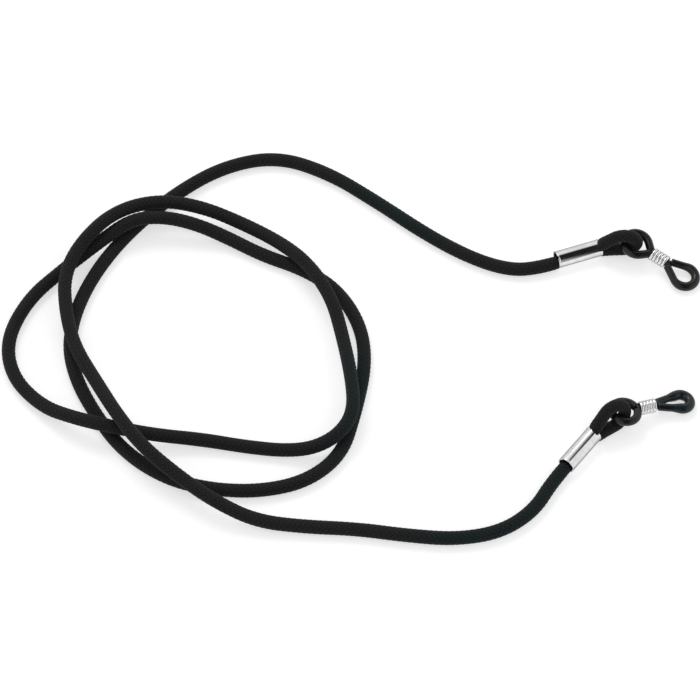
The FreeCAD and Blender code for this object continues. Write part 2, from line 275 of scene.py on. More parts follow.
def braided_tube_tree():
    """A braided tube along the edges of the mesh that it is given.

    The mesh's point attributes breadth and depth are the tube's half sizes in its XY plane and along its Z.
    """
    tree, given = new_geometry_tree("Braided tube", [
        ("Rows", "NodeSocketInt", 200),
        ("Sides", "NodeSocketInt", 24),
        ("Carriers each way", "NodeSocketFloat", 12.0),
        ("Pitch", "NodeSocketFloat", 0.0135),
        ("Relief", "NodeSocketFloat", 0.00011),
        ("Material", "NodeSocketMaterial", None),
    ])
    line = node(tree, "GeometryNodeMeshToCurve", {"Mesh": given["Geometry"]})
    rows = node(tree, "GeometryNodeResampleCurve", {
        "Curve": line.outputs["Curve"], "Count": given["Rows"]}, mode="COUNT")
    length = node(tree, "GeometryNodeSplineParameter").outputs["Length"]
    path, along = captured(tree, rows.outputs["Curve"], "FLOAT", length)
    path, centre = captured(tree, path, "VECTOR", node(tree, "GeometryNodeInputPosition").outputs[0])
    ring = node(tree, "GeometryNodeCurvePrimitiveCircle", {
        "Resolution": given["Sides"], "Radius": 1.0}, mode="RADIUS")
    corner = node(tree, "GeometryNodeInputIndex").outputs[0]
    section, index = captured(tree, ring.outputs["Curve"], "FLOAT", corner)
    sweep = node(tree, "GeometryNodeCurveToMesh", {
        "Curve": path, "Profile Curve": section, "Fill Caps": True})

    turns = math_node(tree, "DIVIDE", index, given["Sides"])
    height = braid_pattern(tree, turns, along, given["Carriers each way"], given["Pitch"])[0]
    position = node(tree, "GeometryNodeInputPosition").outputs[0]
    outward = vector_node(tree, "SUBTRACT", position, centre)
    size = node(tree, "ShaderNodeCombineXYZ", {
        "X": named(tree, "breadth"), "Y": named(tree, "breadth"), "Z": named(tree, "depth")})
    placed = vector_node(tree, "ADD", centre, vector_node(tree, "MULTIPLY", outward, size.outputs[0]))
    sunk = math_node(tree, "MULTIPLY", math_node(tree, "SUBTRACT", height, 1.0), given["Relief"])
    placed = vector_node(tree, "ADD", placed, vector_node(tree, "SCALE", outward, scale=sunk))
    move = node(tree, "GeometryNodeSetPosition", {"Geometry": sweep.outputs["Mesh"], "Position": placed})

    angle = math_node(tree, "MULTIPLY", turns, 2 * math.pi)
    about = node(tree, "ShaderNodeCombineXYZ", {
        "X": math_node(tree, "COSINE", angle), "Y": math_node(tree, "SINE", angle)})
    result = stored(tree, move.outputs["Geometry"], "around", "FLOAT_VECTOR", about.outputs[0])
    result = stored(tree, result, "along", "FLOAT", along)
    close_tree(tree, result, given["Material"])
    return tree


def wound_wire_tree():
    """A coil of wire along +Z from the origin, its ends cut square; Flatness stretches the wire's section."""
    tree, given = new_geometry_tree("Wound wire", [
        ("Turns", "NodeSocketFloat", 5.1),
        ("Coil radius", "NodeSocketFloat", 0.00122),
        ("Wire radius", "NodeSocketFloat", 0.0003),
        ("Flatness", "NodeSocketVector", (1.0, 1.0, 1.0)),
        ("Length", "NodeSocketFloat", 0.00394),
        ("Steps a turn", "NodeSocketInt", 48),
        ("Wire sides", "NodeSocketInt", 14),
        ("Material", "NodeSocketMaterial", None),
    ])
    helix = node(tree, "GeometryNodeCurveSpiral", {
        "Resolution": given["Steps a turn"], "Rotations": given["Turns"],
        "Start Radius": given["Coil radius"], "End Radius": given["Coil radius"], "Height": given["Length"]})
    ring = node(tree, "GeometryNodeCurvePrimitiveCircle", {
        "Resolution": given["Wire sides"], "Radius": given["Wire radius"]}, mode="RADIUS")
    upright = node(tree, "GeometryNodeSetCurveNormal", {"Curve": helix.outputs["Curve"]}, mode="Z_UP")
    section = node(tree, "GeometryNodeTransform", {
        "Geometry": ring.outputs["Curve"], "Scale": given["Flatness"]})
    sweep = node(tree, "GeometryNodeCurveToMesh", {
        "Curve": upright.outputs["Curve"], "Profile Curve": section.outputs["Geometry"], "Fill Caps": True})
    close_tree(tree, sweep.outputs["Mesh"], given["Material"])
    return tree


def grown(obj, tree, values):
    """Runs a tree on obj with these inputs, by name, and leaves the result as obj's plain mesh."""
    modifier = obj.modifiers.new(tree.name, "NODES")
    modifier.node_group = tree
    sockets = {s.name: s.identifier for s in tree.interface.items_tree if s.in_out == "INPUT"}
    for name, value in values.items():
        modifier[sockets[name]] = value
    return made_plain(obj)


def made_plain(obj):
    """obj with its modifiers' result as its own mesh."""
    bpy.context.view_layer.update()
    depsgraph = bpy.context.evaluated_depsgraph_get()
    mesh = bpy.data.meshes.new_from_object(
        obj.evaluated_get(depsgraph), preserve_all_data_layers=True, depsgraph=depsgraph)
    obj.modifiers.clear()
    obj.data = mesh
    return obj


def new_object(name, data):
    obj = bpy.data.objects.new(name, data)
    bpy.context.scene.collection.objects.link(obj)
    return obj


def path_object(name, points, breadth, depth):
    """An open line of edges through the points, with the tube's half sizes on each."""
    mesh = bpy.data.meshes.new(name)
    mesh.from_pydata([tuple(p) for p in points], [(i, i + 1) for i in range(len(points) - 1)], [])
    for key, values in (("breadth", breadth), ("depth", depth)):
        mesh.attributes.new(key, "FLOAT", "POINT").data.foreach_set("value", np.asarray(values, np.float32))
    return new_object(name, mesh)


def rest_on_table(mesh):
    """Presses what is below the table flat on it, as soft cord lies."""
    for vertex in mesh.vertices:
        vertex.co.z = max(vertex.co.z, FLOOR_CLEAR)


# ---------------------------------------------------------------- where the pieces lie

def placed(origin, turn):
    return Matrix.Translation(origin) @ turn.to_4x4()


def drop_path(start_offset, reach, rise, radius, steps):
    """Points round a drop in the XY plane, from (0, start_offset) round the far arc to (0, -start_offset)."""
    centre = Vector((reach, rise, 0))
    touches = []
    for side in (1, -1):
        to_centre = centre - Vector((0, side * start_offset, 0))
        slope = math.atan2(to_centre.y, to_centre.x) + side * math.asin(radius / to_centre.length)
        touches.append((side, slope + side * math.pi / 2))
    points = []
    first, last = touches[0][1], touches[1][1]
    start = Vector((0, start_offset, 0))
    touch = centre + Vector((math.cos(first), math.sin(first), 0)) * radius
    step = radius * (first - last) / steps
    lead = max(2, int((touch - start).length / step))
    points += [start.lerp(touch, i / lead) for i in range(lead)]
    points += [centre + Vector((math.cos(a), math.sin(a), 0)) * radius
               for a in np.linspace(first, last, steps + 1)]
    end = Vector((0, -start_offset, 0))
    touch = points[-1].copy()
    lead = max(2, int((end - touch).length / step))
    points += [touch.lerp(end, (i + 1) / lead) for i in range(lead)]
    return points


def path_length(points):
    return sum((b - a).length for a, b in zip(points, points[1:]))


def loop_reach(radius):
    """Distance from the neck to the centre of the tip's arc, for the temple loop's strand length."""
    low, high = radius * 1.05, LOOP_STRAND
    for _ in range(40):
        reach = (low + high) / 2
        if path_length(drop_path(STRAND_SPREAD / 2, reach, 0, radius, 90)) > LOOP_STRAND:
            high = reach
        else:
            low = reach
    return reach


class EndLayout:
    """Where the pieces of one end fitting lie."""

    def __init__(self, name):
        lay = ENDS[name]
        cord, ferrule, rubber = settings("cord"), settings("ferrule"), settings("rubber")
        eye_radius, rubber_radius = cord.eye_diameter / 2, rubber.strand_diameter / 2
        exit, inner = ROUTE_POINTS[:2] if name == "upper" else ROUTE_POINTS[:-3:-1]
        heading = math.atan2(exit.y - inner.y, exit.x - inner.x)
        cord_end = placed(exit, Matrix.Rotation(heading, 3, "Z"))
        self.ferrule = cord_end @ Matrix.Translation((0, lay["bore_aside"], BORE_RISE))
        parting = self.ferrule @ Vector((ferrule.length - PARTING, 0, 0))
        self.bight = eye_radius + rubber_radius + OPENING_CLEAR
        self.ring = eye_radius + RING_CLEAR + rubber_radius
        lean = math.radians(lay["eye_lean"])
        self.eye_rise = self.bight + (eye_radius - parting.z) / math.cos(lean)
        turn = Matrix.Rotation(math.radians(lay["eye_heading"]), 3, "Z")
        self.eye = placed(parting, turn @ Matrix.Rotation(lean + math.pi / 2, 3, "X"))
        pivot = self.eye @ Vector((PARTING + EYE_REACH, self.eye_rise, 0))
        self.tip_bend = math.radians(lay["tip_bend"])
        self.tip_radius = (lay["loop_width"] - rubber.strand_diameter) / 2
        self.tip_reach = loop_reach(self.tip_radius)
        self.root_half, self.fullness = lay["root_half"], lay["fullness"]
        self.drawn_tip_radius = self.tip_radius - rubber_radius * (self.fullness - 1)
        self.ring_reach = lay["ring_reach"]
        rear_to_tip = self.ring + self.ring_reach + NECK_LENGTH + self.tip_reach + self.tip_radius
        roll = math.radians(lay["link_roll"])
        tip_z = rubber_radius + FLOOR_CLEAR + self.tip_radius * math.sin(abs(roll))
        slope = math.asin((pivot.z - tip_z) / rear_to_tip)
        pivot.z -= self.ring * math.sin(slope)
        turn = Matrix.Rotation(math.radians(lay["link_heading"]), 3, "Z") @ Matrix.Rotation(slope, 3, "Y")
        self.link = placed(pivot, turn @ Matrix.Rotation(roll, 3, "X"))


# ---------------------------------------------------------------- materials

def new_material(name):
    material = bpy.data.materials.new(name)
    material.use_nodes = True
    tree = material.node_tree
    return material, tree, tree.nodes["Principled BSDF"]


def noise(tree, vector, scale, detail=3.0, roughness=0.5):
    return node(tree, "ShaderNodeTexNoise", {
        "Vector": vector, "Scale": scale, "Detail": detail, "Roughness": roughness}).outputs["Fac"]


def ranged(tree, value, low, high, to_low, to_high):
    return node(tree, "ShaderNodeMapRange", {
        "Value": value, "From Min": low, "From Max": high, "To Min": to_low, "To Max": to_high,
    }).outputs["Result"]


def mixed(tree, factor, a, b):
    """Colour a, or b where factor is 1; the node's colour sockets share their names with others."""
    return node(tree, "ShaderNodeMix", {0: factor, 6: a, 7: b}, data_type="RGBA").outputs[2]


def bumped(tree, shader, height, distance, strength, under=None):
    """Adds a bump to the shader, over the bump under it."""
    made = node(tree, "ShaderNodeBump", {
        "Height": height, "Distance": distance, "Strength": strength, "Normal": under})
    feed(tree, shader.inputs["Normal"], made.outputs["Normal"])
    return made.outputs["Normal"]


def opaque(colour):
    return tuple(colour) + (1,)


def patchy(tree, cover, low, high, first, second):
    """From the first colour, where cover is low or less, to the second, where it is high or more."""
    return mixed(tree, ranged(tree, cover, low, high, 0.0, 1.0), opaque(first), opaque(second))


def near_places(tree, place, places, reach):
    """1 at any of the places and 0 from this reach on."""
    result = 0.0
    for x, y in places:
        away = vector_node(tree, "LENGTH", vector_node(tree, "SUBTRACT", place, (x, y, 0.0)))
        result = math_node(tree, "MAXIMUM", result, ranged(tree, away, reach * CAST_CORE, reach, 1.0, 0.0))
    return result


def braid_material():
    """Black matte yarn: the braid's floats with painted shade in the gaps between them, the filaments in each,
    and a bluer dye at a few places.
    """
    cord = settings("cord")
    material, tree, shader = new_material("black braided yarn")
    around = node(tree, "ShaderNodeAttribute", attribute_name="around").outputs["Vector"]
    along = node(tree, "ShaderNodeAttribute", attribute_name="along").outputs["Fac"]
    split = node(tree, "ShaderNodeSeparateXYZ", {0: around})
    angle = math_node(tree, "ARCTAN2", split.outputs["Y"], split.outputs["X"])
    turns = math_node(tree, "FRACT", math_node(tree, "MULTIPLY_ADD", angle, 1 / (2 * math.pi), 1.0))
    pattern = braid_pattern(tree, turns, along, float(cord.carriers), cord.pitch)
    height, left, right, right_on_top = pattern

    # filaments: thin streaks that run with whichever yarn is on top
    change = math_node(tree, "MULTIPLY", right_on_top, math_node(tree, "SUBTRACT", right, left))
    streak = node(tree, "ShaderNodeCombineXYZ", {
        "X": math_node(tree, "MULTIPLY", math_node(tree, "ADD", left, change), FILAMENTS),
        "Y": math_node(tree, "SUBTRACT", right, change)})
    filaments = noise(tree, streak.outputs[0], 1.0, 2.0)
    place = node(tree, "ShaderNodeTexCoord").outputs["Object"]
    shade = noise(tree, place, 60.0, 2.0)

    # painted shade: the yarn's colour darkens to the gap colour where its height falls, in the hollows between
    # the yarns
    gap = ranged(tree, height, 0.0, 0.55, 0.0, 1.0)
    yarn = patchy(tree, filaments, 0.3, 0.7, cord.colour, cord.highlight)
    near = near_places(tree, place, CORD_CASTS, CORD_CAST_REACH)
    cast = math_node(tree, "MULTIPLY", near, ranged(tree, shade, 0.3, 0.6, 0.55, 1.0))
    yarn = mixed(tree, cast, yarn, opaque(cord.tint))
    fill(tree, shader, {
        "Base Color": mixed(tree, gap, opaque(cord.gap_shade_colour), yarn),
        "Roughness": ranged(tree, filaments, 0.2, 0.8, 0.95, 0.78),
        "Specular IOR Level": 0.22,
        "Sheen Weight": 0.05,
        "Sheen Roughness": 0.45,
    })
    under = bumped(tree, shader, height, 0.00012, 0.8)
    bumped(tree, shader, filaments, 0.00004, 0.7, under)
    return material


def rubber_material():
    """Glossy black moulded rubber with a faint skin and handling dullness."""
    rubber = settings("rubber")
    material, tree, shader = new_material("glossy black rubber")
    place = node(tree, "ShaderNodeTexCoord").outputs["Object"]
    handling = noise(tree, place, 420.0, 4.0, 0.6)
    skin = noise(tree, place, 5200.0, 2.0)
    colour = patchy(tree, handling, 0.35, 0.75, rubber.colour, rubber.worn)
    cast = near_places(tree, place, RUBBER_CASTS, RUBBER_CAST_REACH)
    colour = mixed(tree, cast, colour, opaque(rubber.tint))
    fill(tree, shader, {
        "Base Color": colour,
        "Roughness": ranged(tree, handling, 0.3, 0.75, 0.18, 0.32),
        "Specular IOR Level": 0.32,
    })
    bumped(tree, shader, skin, 0.000012, 0.5)
    return material


def ferrule_material():
    """Chromed sheet: bright, with duller clouds and fine specks."""
    ferrule = settings("ferrule")
    material, tree, shader = new_material("chromed ferrule")
    place = node(tree, "ShaderNodeTexCoord").outputs["Object"]
    cloud = noise(tree, place, 700.0, 3.0, 0.55)
    specks = noise(tree, place, 4200.0, 2.0)
    fill(tree, shader, {
        "Base Color": patchy(tree, cloud, 0.3, 0.75, ferrule.colour, ferrule.dull),
        "Roughness": ranged(tree, cloud, 0.3, 0.8, 0.06, 0.15),
        "Metallic": 1.0,
        "Specular Tint": METAL_EDGE,
    })
    bumped(tree, shader, specks, 0.000006, 0.4)
    return material


def wire_material():
    """Bright spring wire, a little duller in places."""
    coil = settings("coil")
    material, tree, shader = new_material("bright spring wire")
    place = node(tree, "ShaderNodeTexCoord").outputs["Object"]
    drawn = noise(tree, place, 2600.0, 3.0, 0.6)
    fill(tree, shader, {
        "Base Color": patchy(tree, drawn, 0.3, 0.75, coil.colour, coil.dull),
        "Roughness": ranged(tree, drawn, 0.3, 0.8, 0.12, 0.26),
        "Metallic": 1.0,
        "Specular Tint": METAL_EDGE,
    })
    bumped(tree, shader, drawn, 0.000008, 0.4)
    return material


def shared(name, make):
    return bpy.data.materials.get(name) or make()


# ---------------------------------------------------------------- settings

def length_property(name, description, default):
    return FloatProperty(name=name, description=description, default=default, min=0.0, subtype="DISTANCE",
                         unit="LENGTH", precision=5)


def level_property(name, description, default, low, high, subtype="NONE"):
    return FloatProperty(name=name, description=description, default=default, min=low, max=high,
                         subtype=subtype)


def power_property(name, description, default):
    return FloatProperty(name=name, description=description, default=default, min=0.0, unit="POWER")


def colour_property(name, description, default):
    return FloatVectorProperty(name=name, description=description, default=default, min=0.0, max=1.0, size=3,
                               subtype="COLOR")


class StrapCordSettings(bpy.types.PropertyGroup):
    diameter: length_property("Cord diameter", "Outside diameter of the free cord, over the yarns", 0.0031)
    eye_diameter: length_property("Eye cord diameter", "The cord where it is drawn tight into an eye", 0.0029)
    pitch: length_property("Braid pitch", "Length in which a yarn goes once round the cord", 0.0135)
    relief: length_property("Braid relief", "How far the yarns stand above the gaps between them", 0.00011)
    carriers: IntProperty(name="Carriers each way", description="Yarns that run each way; an even number",
                          default=12, min=4, max=32, step=2)
    colour: colour_property("Yarn colour", "Main colour of the yarn", (0.0082, 0.0082, 0.0087))
    highlight: colour_property("Filament colour", "The lighter filaments", (0.0180, 0.0187, 0.0194))
    tint: colour_property("Tint", "Shade that comes and goes along the cord", (0.0062, 0.0150, 0.0156))
    # painted shade in the hollows between the yarns, where the braid dives
    gap_shade_colour: colour_property("Gap shade colour", "Between the yarns", (0.0026, 0.0026, 0.0028))


class StrapFerruleSettings(bpy.types.PropertyGroup):
    diameter: length_property("Ferrule diameter", "Outside diameter of the crimped tube", 0.0038)
    wall: length_property("Wall", "Thickness of the rolled sheet", 0.00025)
    length: length_property("Ferrule length", "From mouth to mouth", 0.0104)
    lip: length_property("Lip height", "How far the rolled lips stand proud", 0.00005)
    lip_length: length_property("Lip length", "Length of each lip along the tube", 0.0005)
    seam: length_property("Seam gap", "Gap of the butt seam underneath", 0.00016)
    colour: colour_property("Chrome colour", "Bright plating", (0.80, 0.80, 0.81))
    dull: colour_property("Dull colour", "Where handling has dulled the plating", (0.62, 0.62, 0.63))


class StrapRubberSettings(bpy.types.PropertyGroup):
    strand_diameter: length_property("Strand diameter", "Strand of the ring and of the temple loop", 0.0019)
    neck_diameter: length_property("Neck diameter", "Where the coil presses the strands together", 0.00174)
    grain: length_property("Surface step", "Size of the faces that the moulding is made of", 0.00009)
    colour: colour_property("Rubber colour", "Black rubber", (0.006, 0.006, 0.0066))
    worn: colour_property("Handled colour", "Where handling has greyed the rubber", (0.010, 0.010, 0.0108))
    tint: colour_property("Cast", "Bluer rubber of the lower temple loop", (0.0045, 0.0115, 0.0145))
    slimmed: level_property("Slimmed strand", "Share of its size that the strand has where the coil slides",
                            0.915, 0.5, 1.0, "FACTOR")
    squeezed: level_property("Squeezed width", "Share of its width that the loop keeps at full slide",
                             0.28, 0.1, 1.0, "FACTOR")


class StrapCoilSettings(bpy.types.PropertyGroup):
    wire_diameter: length_property("Wire thickness", "Spring wire, across the coil", 0.00060)
    wire_width: length_property("Wire width", "Spring wire, along the coil: its turns almost touch", 0.00076)
    length: length_property("Coil length", "Over the wire", 0.0047)
    clearance: length_property("Clearance", "Between the wire and the neck", 0.00005)
    turns: level_property("Turns", "Turns of the coil", 5.1, 1.0, 20.0)
    colour: colour_property("Wire colour", "Bright wire", (0.90, 0.90, 0.91))
    dull: colour_property("Dull wire colour", "Where the turns rub", (0.66, 0.66, 0.67))


class StrapStageSettings(bpy.types.PropertyGroup):
    floor_colour: colour_property("Floor colour", "Plain pale table", (0.60, 0.60, 0.60))
    lift: level_property("Background lift", "Light that only the eye and reflections see on the table",
                         0.58, 0.0, 1.0)
    key: power_property("Key light", "Large soft lamp above and behind", 2.6)
    fill: power_property("Fill light", "Soft lamp on the camera's side", 0.9)
    gap_side: level_property("Gap side", "Towards +X: the unlit gap over the camera, as reflected",
                             0.28, -1.0, 1.0)
    gap_half: level_property("Gap half width", "Half of the unlit gap, as a share of the sky's radius",
                             0.24, 0.01, 0.5)
    gap_level: level_property("Gap level", "How bright the unlit gap looks", 0.015, 0.0, 1.0)
    ambient: level_property("Room light", "Even light from all round", 0.60, 0.0, 2.0)


# ---------------------------------------------------------------- operators

def braided_piece(name, points, breadth, depth, pitch):
    """A braided tube through the points, with these half sizes in its XY plane and along its Z."""
    cord = settings("cord")
    tree = bpy.data.node_groups.get("Braided tube") or braided_tube_tree()
    row = pitch / (4 * cord.carriers)
    return grown(path_object(name, points, breadth, depth), tree, {
        "Rows": int(round(path_length(points) / row)) + 1,
        "Sides": 2 * cord.carriers,
        "Carriers each way": float(cord.carriers),
        "Pitch": pitch,
        "Relief": cord.relief,
        "Material": shared("black braided yarn", braid_material),
    })


def eye_pitch():
    """The braid's pitch where the cord is drawn to its diameter in the eyes."""
    cord = settings("cord")
    return cord.pitch * cord.eye_diameter / cord.diameter


class STRAP_OT_cord(bpy.types.Operator):
    """Braided cord along its route, from ferrule to ferrule"""
    bl_idname = "strap.cord"
    bl_label = "Braided cord"

    def execute(self, context):
        cord = settings("cord")
        data = bpy.data.curves.new("cord route", "CURVE")
        data.dimensions = "3D"
        data.resolution_u = 10
        spline = data.splines.new("NURBS")
        spline.points.add(len(ROUTE_POINTS) - 1)
        for point, place in zip(spline.points, ROUTE_POINTS):
            point.co = (*place, 1.0)
        spline.order_u = 3
        spline.use_endpoint_u = True
        route = new_object("cord_route", data)
        bpy.context.view_layer.update()
        line = bpy.data.meshes.new_from_object(route)
        points = [v.co.copy() for v in line.vertices]
        bpy.data.objects.remove(route)

        total = path_length(points)
        travelled = 0.0
        half = []
        for i, point in enumerate(points):
            travelled += (point - points[i - 1]).length if i else 0.0
            from_end = min(travelled, total - travelled)
            sway = sum(share * math.sin(travelled * rate + phase) for share, rate, phase in CORD_SWAYS)
            drawn = 1.0 - CORD_PINCH * math.exp(-from_end / PINCH_FADE)
            half.append(cord.diameter / 2 * (drawn + sway))
        piece = braided_piece("cord_braid", points, half, half, cord.pitch)
        rest_on_table(piece.data)
        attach(piece, "strap")
        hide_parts("cord")
        return {"FINISHED"}


class STRAP_OT_eyes(bpy.types.Operator):
    """The cord's two folded eyes, pressed flat where they leave the ferrules"""
    bl_idname = "strap.eyes"
    bl_label = "Cord eyes"

    def execute(self, context):
        half = settings("cord").eye_diameter / 2
        for name in ENDS:
            end = EndLayout(name)
            reach = PARTING + EYE_REACH - end.bight
            points = drop_path(BORE_FILL / 2, reach, end.eye_rise, end.bight, EYE_STEPS)
            thick = [min(half, BORE_FILL / 2 - FOLD_CLEAR + SWELL_SLOPE * max(p.x, 0.0)) for p in points]
            wide = [half + (BORE_FILL - half) * max(0.0, 1 - p.x / SWELL_LENGTH) for p in points]
            piece = braided_piece(name + "_eye_braid", points, thick, wide, eye_pitch())
            piece.data.transform(end.eye)
            rest_on_table(piece.data)
            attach(piece, "strap")
            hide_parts(name + "_cord_eye")
            self.crimped_strand(name, "cord", end, -1, 0.0)
            self.crimped_strand(name, "tail", end, 1, TAIL_INSET)
        return {"FINISHED"}

    def crimped_strand(self, name, part, end, side, start):
        """A strand pressed flat in the ferrule's bore, above (+1) or below (-1) the fold."""
        along = np.linspace(start, settings("ferrule").length - PARTING, 12)
        points = [Vector((x, 0, side * BORE_FILL / 2)) for x in along]
        wide = [BORE_FILL - CRIMP_CLEAR] * len(points)
        thick = [BORE_FILL / 2 - 2 * CRIMP_CLEAR] * len(points)
        piece = braided_piece("%s_crimped_%s" % (name, part), points, wide, thick, eye_pitch())
        piece.data.transform(end.ferrule)
        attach(piece, "strap")
        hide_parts(name + "_cord_eye")


class STRAP_OT_ferrules(bpy.types.Operator):
    """Rolled and crimped tubes with a lip at each mouth and the butt seam underneath"""
    bl_idname = "strap.ferrules"
    bl_label = "Ferrules"

    def profile(self, ferrule):
        """(place along the tube, distance from its axis) all round the sheet's section."""
        outer = ferrule.diameter / 2
        bore = outer - ferrule.wall
        lip, reach, length = ferrule.lip, ferrule.lip_length, ferrule.length
        groove = outer + lip * LIP_GROOVE
        rear = [(reach * LIP_ROLL * (1 - math.sin(a)), groove + lip * (1 - LIP_GROOVE) * math.sin(a))
                for a in np.linspace(0, math.pi / 2, 7)]
        rear += [(reach * (LIP_ROLL + (1 - LIP_ROLL) * t), outer + lip * (1 + math.cos(math.pi * t)) / 2)
                 for t in np.linspace(0.0, 1.0, 9)[1:]]
        rear = [(0.0, bore + MOUTH_BEVEL), (0.0, groove - FACE_ROW)] + sorted(rear)
        front = [(length - x, r) for x, r in reversed(rear)]
        return rear + front + [(length - MOUTH_BEVEL, bore), (MOUTH_BEVEL, bore)]

    def sleeve(self, name, ferrule):
        """The sheet rolled round +X, its two long edges side by side underneath."""
        profile = self.profile(ferrule)
        half_gap = math.asin(ferrule.seam / 2 / (ferrule.diameter / 2))
        angles = np.linspace(-math.pi / 2 + half_gap, 1.5 * math.pi - half_gap, 97)
        mesh = bpy.data.meshes.new(name)
        shell = bmesh.new()
        rows = [[shell.verts.new((x, r * math.cos(a), r * math.sin(a))) for x, r in profile] for a in angles]
        count = len(profile)
        for one, two in zip(rows, rows[1:]):
            for i in range(count):
                shell.faces.new((one[i], one[(i + 1) % count], two[(i + 1) % count], two[i]))
        shell.faces.new(rows[0])
        shell.faces.new(list(reversed(rows[-1])))
        bmesh.ops.recalc_face_normals(shell, faces=shell.faces)
        shell.to_mesh(mesh)
        shell.free()
        mesh.materials.append(shared("chromed ferrule", ferrule_material))
        mesh.shade_smooth()
        mesh.set_sharp_from_angle(angle=math.radians(SHARP_EDGE))
        return mesh

    def execute(self, context):
        for name in ENDS:
            end = EndLayout(name)
            mesh = self.sleeve(name + "_ferrule_sleeve", settings("ferrule"))
            piece = new_object(mesh.name, mesh)
            mesh.transform(end.ferrule)
            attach(piece, "strap")
            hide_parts(name + "_ferrule")
        return {"FINISHED"}


class STRAP_OT_rubber(bpy.types.Operator):
    """Moulded rubber: the rear ring with its neck, and the temple loop that the coil closes"""
    bl_idname = "strap.rubber"
    bl_label = "Rubber loops"

    def strand(self, points, radius, slim_to=0.0, slimmed=1.0):
        """A round tube with closed ends through the points, slimmed where its X is under slim_to."""
        data = bpy.data.curves.new("strand", "CURVE")
        data.dimensions = "3D"
        data.bevel_depth = radius
        data.bevel_resolution = 6
        data.use_fill_caps = True
        spline = data.splines.new("POLY")
        spline.points.add(len(points) - 1)
        for point, place in zip(spline.points, points):
            point.co = (*place, 1.0)
            past = min(max((place[0] - slim_to) / SLIM_FADE, 0.0), 1.0)
            point.radius = slimmed + (1.0 - slimmed) * past
        carrier = new_object("strand", data)
        bpy.context.view_layer.update()
        mesh = bpy.data.meshes.new_from_object(carrier)
        bpy.data.objects.remove(carrier)
        return mesh

    def moulded(self, name, parts, grain):
        """The parts as one skin, with small fillets where they meet."""
        body = bmesh.new()
        for part in parts:
            body.from_mesh(part)
        bmesh.ops.recalc_face_normals(body, faces=body.faces)
        mesh = bpy.data.meshes.new(name)
        body.to_mesh(mesh)
        body.free()
        piece = new_object(name, mesh)
        skin = piece.modifiers.new("skin", "REMESH")
        skin.mode = "VOXEL"
        skin.voxel_size = grain
        skin.use_smooth_shade = True
        relax = piece.modifiers.new("relax", "CORRECTIVE_SMOOTH")
        relax.use_only_smooth = True
        relax.smooth_type = "SIMPLE"
        relax.factor = 0.5
        relax.iterations = SKIN_SMOOTHING
        made_plain(piece)
        piece.data.materials.clear()
        piece.data.materials.append(shared("glossy black rubber", rubber_material))
        piece.data.shade_smooth()
        return piece

    def execute(self, context):
        rubber = settings("rubber")
        radius = rubber.strand_diameter / 2 + SKIN_EXTRA
        spread = STRAND_SPREAD / 2
        for name in ENDS:
            end = EndLayout(name)
            neck_start, neck_end = end.ring_reach, end.ring_reach + NECK_LENGTH
            split = neck_start + NECK_SPLIT
            back = Matrix.Translation((neck_start, 0, 0)) @ Matrix.Rotation(math.pi, 4, "Z")
            ring_line = [back @ p for p in drop_path(spread, neck_start, 0, end.ring, LOOP_STEPS)]
            ahead = [Vector((x, 0, 0)) for x in np.linspace(neck_start - STUB_LAP, split, 12)]
            ring = self.moulded(name + "_rear_ring", [
                self.strand(ring_line, radius), self.strand(ahead, rubber.neck_diameter / 2)], rubber.grain)
            bend = Matrix.Translation((neck_end, 0, 0)) @ Matrix.Rotation(end.tip_bend, 4, "Z")
            loop_line = [bend @ p for p in drop_path(
                end.root_half, end.tip_reach, 0, end.drawn_tip_radius, LOOP_STEPS)]
            stub = [Vector((x, 0, 0)) for x in np.linspace(split, neck_end + STUB_LAP, 6)]
            slim_to, slimmed = neck_end + COIL_TRAVEL, rubber.slimmed / end.fullness
            loop = self.moulded(name + "_temple_loop", [
                self.strand(loop_line, radius * end.fullness, slim_to, slimmed),
                self.strand(stub, rubber.neck_diameter / 2)], rubber.grain)
            for piece in (ring, loop):
                piece.data.transform(end.link)
                rest_on_table(piece.data)
                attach(piece, name + "_link")
                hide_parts(name + "_rubber_loop")
            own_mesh(loop)
        return {"FINISHED"}


class STRAP_OT_coils(bpy.types.Operator):
    """Coils of spring wire that slide along the rubber's neck"""
    bl_idname = "strap.coils"
    bl_label = "Coils"

    def execute(self, context):
        coil, rubber = settings("coil"), settings("rubber")
        tree = wound_wire_tree()
        for name in ENDS:
            end = EndLayout(name)
            piece = new_object(name + "_spring_coil", bpy.data.meshes.new(name + "_spring_coil"))
            grown(piece, tree, {
                "Turns": coil.turns,
                "Coil radius": rubber.neck_diameter / 2 + coil.clearance + coil.wire_diameter / 2,
                "Wire radius": coil.wire_diameter / 2,
                "Flatness": (1.0, coil.wire_width / coil.wire_diameter, 1.0),
                "Length": coil.length - coil.wire_width,
                "Material": shared("bright spring wire", wire_material),
            })
            start = end.ring_reach + NECK_MARGIN + coil.wire_width / 2
            along = Matrix.Translation((start, 0, 0)) @ Matrix.Rotation(math.pi / 2, 4, "Y")
            piece.data.transform(end.link @ along)
            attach(piece, name + "_slider")
            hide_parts(name + "_coil")
        return {"FINISHED"}


